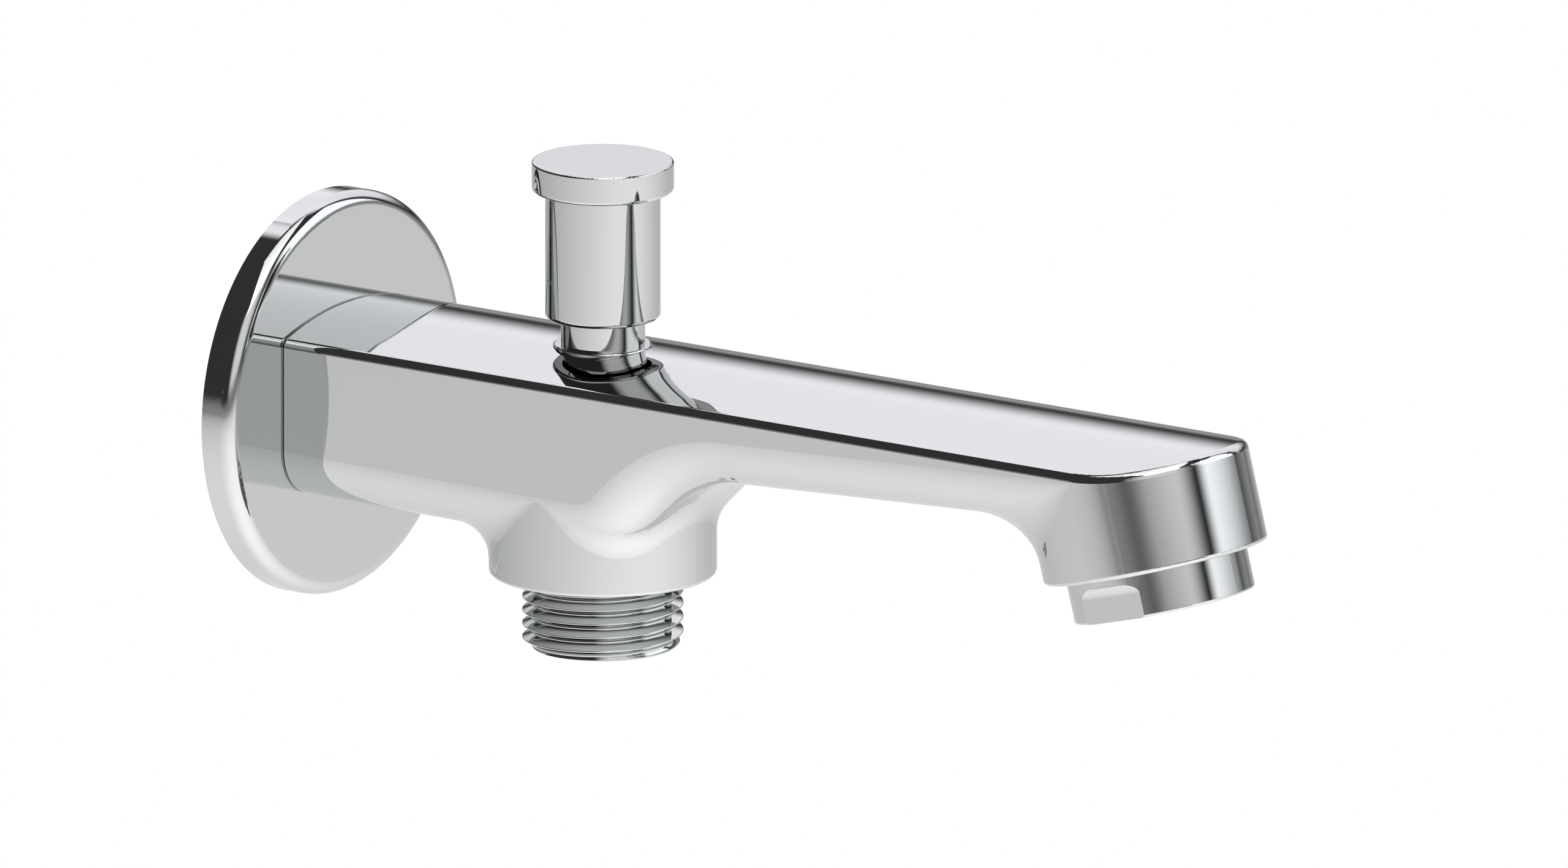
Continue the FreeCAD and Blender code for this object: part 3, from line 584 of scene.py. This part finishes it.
# %% [markdown]
# ## The floor as mirrors see it
#
# Much of what the chrome shows is the floor. There a pool of light is painted on it as a glow,
# brightest under the spout and fading with distance. The painted pool leans towards the light,
# to the right, and is a little darker straight in front and behind.

# %% Painted pool of light
POOL_RADIUS, POOL_MIDDLE, POOL_EDGE = 4.36, 1.77, 0.50
SOFT_MIDDLE = 0.3
LEAN_BEARING, LEAN = -30, 0.42
DIP_BEARING, DIP = -75, 0.2


def bare_material(name):
    """A material with only its output node, and a function that sends a shader to it."""
    material = bpy.data.materials.new(name)
    material.use_nodes = True
    material.node_tree.nodes.remove(material.node_tree.nodes["Principled BSDF"])
    material.cycles.emission_sampling = "NONE"
    surface = material.node_tree.nodes["Material Output"].inputs["Surface"]
    return material, lambda shader: material.node_tree.links.new(shader, surface)


paper, show_paper = bare_material("white_floor_with_painted_pool")
place = add(paper, "ShaderNodeTexCoord", {})
radius = add(paper, "ShaderNodeVectorMath", {"operation": "LENGTH", 0: place.outputs["Object"]})
# painted light: the glow that mirrors see on the floor, brightest in the middle and fading outwards
pool = add(paper, "ShaderNodeMapRange", {
    "Value": radius.outputs["Value"], "From Max": POOL_RADIUS,
    "To Min": POOL_MIDDLE, "To Max": POOL_EDGE})
reach = add(paper, "ShaderNodeMath", {
    "operation": "ADD", 0: radius.outputs["Value"], 1: SOFT_MIDDLE})


def toward(bearing):
    """How far a point of the floor lies towards a bearing in degrees, from -1 to 1."""
    way = (math.cos(math.radians(bearing)), math.sin(math.radians(bearing)), 0.0)
    distance = add(paper, "ShaderNodeVectorMath", {
        "operation": "DOT_PRODUCT", 0: place.outputs["Object"], 1: way})
    return add(paper, "ShaderNodeMath", {
        "operation": "DIVIDE", 0: distance.outputs["Value"], 1: reach.outputs[0]}).outputs[0]


# the painted pool is made brighter towards the light and darker straight in front and behind
leaning = add(paper, "ShaderNodeMath", {
    "operation": "MULTIPLY_ADD", 0: toward(LEAN_BEARING), 1: LEAN, 2: 1.0})
front_and_back = add(paper, "ShaderNodeMath", {
    "operation": "MULTIPLY", 0: toward(DIP_BEARING), 1: toward(DIP_BEARING)})
leaning = add(paper, "ShaderNodeMath", {
    "operation": "MULTIPLY_ADD", 0: front_and_back.outputs[0], 1: -DIP, 2: leaning.outputs[0]})
painted_pool_level = add(paper, "ShaderNodeMath", {
    "operation": "MULTIPLY", 0: pool.outputs["Result"], 1: leaning.outputs[0]})
print("pool of light:", POOL_MIDDLE, "in the middle,", POOL_EDGE, "at", POOL_RADIUS, "m")

# %% [markdown]
# ## The floor as the camera sees it
#
# To the camera the paper is white, by a glow of 1 for three quarters of it. The last quarter
# is a real diffuse white, which takes the spout's soft shadow. The kind of ray picks between
# this and the pool.

# %% Paper
GLOW_SHARE = 0.75

ray = add(paper, "ShaderNodeLightPath", {})
level = add(paper, "ShaderNodeMix", {
    "data_type": "FLOAT", "Factor": ray.outputs["Is Glossy Ray"], "A": 1.0,
    "B": painted_pool_level.outputs[0]})
glow = add(paper, "ShaderNodeEmission", {"Strength": level.outputs[0]})
lit = add(paper, "ShaderNodeBsdfDiffuse", {"Color": (1, 1, 1, 1)})
seen = add(paper, "ShaderNodeMath", {
    "operation": "MAXIMUM", 0: ray.outputs["Is Camera Ray"],
    1: ray.outputs["Is Transmission Ray"]})
seen = add(paper, "ShaderNodeMath", {"operation": "MULTIPLY", 0: seen.outputs[0], 1: GLOW_SHARE})
seen = add(paper, "ShaderNodeMath", {
    "operation": "MAXIMUM", 0: seen.outputs[0], 1: ray.outputs["Is Glossy Ray"]})
mixed = add(paper, "ShaderNodeMixShader", {
    0: seen.outputs[0], 1: lit.outputs[0], 2: glow.outputs[0]})
show_paper(mixed.outputs[0])
floor.data.materials.append(paper)
print("the camera sees", GLOW_SHARE, "of the floor as glow")

# %% [markdown]
# ## Black tent
#
# Chrome has no colour of its own, so a photographer builds its look from what stands round it.
# A black tent gives the crisp dark lines along the edges. It is seen in mirrors alone, and a
# glow painted low on its cloth stands for the floor's light spilling a little way up it.

# %% Tent
SPILL_TOP, SPILL_LOW, SPILL_HIGH = 0.35, 0.43, 0.06


def only_in_mirrors(piece):
    """Keep a piece of the stage from the camera and from all but mirror rays."""
    piece.visible_camera = piece.visible_diffuse = False
    piece.visible_shadow = piece.visible_transmission = False


deselect()
bpy.ops.mesh.primitive_uv_sphere_add(segments=96, ring_count=48, radius=FAR, location=CENTRE)
tent = bpy.context.active_object
tent.name = "black_tent"
only_in_mirrors(tent)
cloth, show_cloth = bare_material("black_tent_cloth")
place = add(cloth, "ShaderNodeTexCoord", {})
height = add(cloth, "ShaderNodeSeparateXYZ", {"Vector": place.outputs["Object"]})
# painted light: a glow on the cloth, strongest at floor level, for the floor's spilt light
spill = add(cloth, "ShaderNodeMapRange", {
    "Value": height.outputs["Z"], "From Min": FLOOR_Z, "From Max": SPILL_TOP,
    "To Min": SPILL_LOW, "To Max": SPILL_HIGH, "interpolation_type": "SMOOTHSTEP"})
glow = add(cloth, "ShaderNodeEmission", {"Strength": spill.outputs["Result"]})
show_cloth(glow.outputs[0])
tent.data.materials.append(cloth)
print("tent radius", FAR, "m")

# %% [markdown]
# ## A softbox
#
# Large softboxes give the broad pale bands between the dark lines, and mirrors alone see them
# too. Each is a plane whose light falls off towards its edges, so that its reflection doesn't
# end in a hard line. Its light is added to what lies behind it, or its faded edges would show
# as dark borders in front of the tent.

# %% Softbox
def light_card(name, centre, across, up, strength, fades, colour="#FFFFFF", rise=0.0):
    """A glowing plane given by its centre and its half width and half height as vectors.

    fades holds the share of the half size over which the light falls off, at the left, right,
    bottom and top edges; rise is how much stronger the top is than the middle.
    """
    deselect()
    bpy.ops.mesh.primitive_plane_add(size=2)
    card = bpy.context.active_object
    card.name = name
    facing = across.cross(up).normalized()
    card.matrix_world = Matrix((across, up, facing)).transposed().to_4x4()
    card.matrix_world.translation = centre
    only_in_mirrors(card)
    cloth, show = bare_material(f"{name}_cloth")
    place = add(cloth, "ShaderNodeTexCoord", {})
    part = add(cloth, "ShaderNodeSeparateXYZ", {"Vector": place.outputs["Object"]})
    level = add(cloth, "ShaderNodeMath", {
        "operation": "MULTIPLY_ADD", 0: part.outputs["Y"], 1: rise, 2: strength}).outputs[0]
    for axis, side, fade in zip("XXYY", (-1, 1, -1, 1), fades):
        edge = add(cloth, "ShaderNodeMapRange", {
            "Value": part.outputs[axis], "From Min": side, "From Max": side * (1 - fade),
            "interpolation_type": "SMOOTHSTEP"})
        level = add(cloth, "ShaderNodeMath", {
            "operation": "MULTIPLY", 0: level, 1: edge.outputs["Result"]}).outputs[0]
    glow = add(cloth, "ShaderNodeEmission", {"Color": linear(colour), "Strength": level})
    clear = add(cloth, "ShaderNodeBsdfTransparent", {})
    both = add(cloth, "ShaderNodeAddShader", {0: glow.outputs[0], 1: clear.outputs[0]})
    show(both.outputs[0])
    card.data.materials.append(cloth)
    print(name, "at", [round(v, 2) for v in centre], "m")


# %% [markdown]
# ## Standing softboxes
#
# Four softboxes stand round the spout, each between two bearings, which count from where the
# outlet points towards the back. The front one lights the side that faces us, the right one the outlet
# head, and the back one the top, because a flat top seen from a little above mirrors what
# stands behind it. The high one carries the back one's light on round the flange's rim.

# %% Standing softboxes
COOL_WHITE, LAVENDER_WHITE = "#F9FBFF", "#FBF9FF"


def standing_card(name, bearings, heights, strength, fades, distance=2.0, **looks):
    """An upright card between two bearings and two heights, all in degrees from the spout."""
    left, right = (math.radians(angle) for angle in bearings)
    middle = (left + right) / 2
    out = Vector((math.cos(middle), math.sin(middle), 0))
    half_width = distance * math.tan((right - left) / 2)
    bottom, top = (distance * math.tan(math.radians(angle)) for angle in heights)
    light_card(
        name, CENTRE + out * distance + Vector((0, 0, (bottom + top) / 2)),
        Vector((-out.y, out.x, 0)) * half_width, Vector((0, 0, (top - bottom) / 2)),
        strength, fades, **looks)


standing_card(
    "front_softbox", (-73, 7), (-4, 50), 1.25, (0.75, 0.7, 0.45, 0.1), distance=2.4)
standing_card(
    "right_softbox", (6, 65), (-2, 50), 2.15, (0.57, 0.15, 0.37, 0.15), colour=COOL_WHITE)
standing_card(
    "back_softbox", (68, 147), (3.3, 67), 1.7, (0.3, 0.05, 0.26, 0.86),
    colour=LAVENDER_WHITE, rise=0.36)
standing_card(
    "high_softbox", (145.6, 164), (44, 62), 1.65, (0.152, 0.9, 0.5, 0.5),
    colour=LAVENDER_WHITE)

# %% [markdown]
# ## Ceiling softbox
#
# The key light hangs overhead, a little out to the right, and gives the white of the rounded
# edges and of the upper faces that lean towards us. Its sizes are shares of its height, so that
# it can be hung higher or lower and looks the same in the mirrors.

# %% Ceiling softbox
CEILING = 1.9
KEY_BEARING = math.radians(-28)
KEY_OUT, KEY_HALF_WIDTH, KEY_HALF_LENGTH = 0.358 * CEILING, 0.38 * CEILING, 0.74 * CEILING

key = Vector((math.cos(KEY_BEARING), math.sin(KEY_BEARING), 0))
light_card(
    "ceiling_softbox", CENTRE + key * KEY_OUT + Vector((0, 0, CEILING)),
    Vector((-key.y, key.x, 0)) * KEY_HALF_WIDTH, key * KEY_HALF_LENGTH,
    2.2, (0.12, 0.12, 0.08, 0.08), rise=0.6)
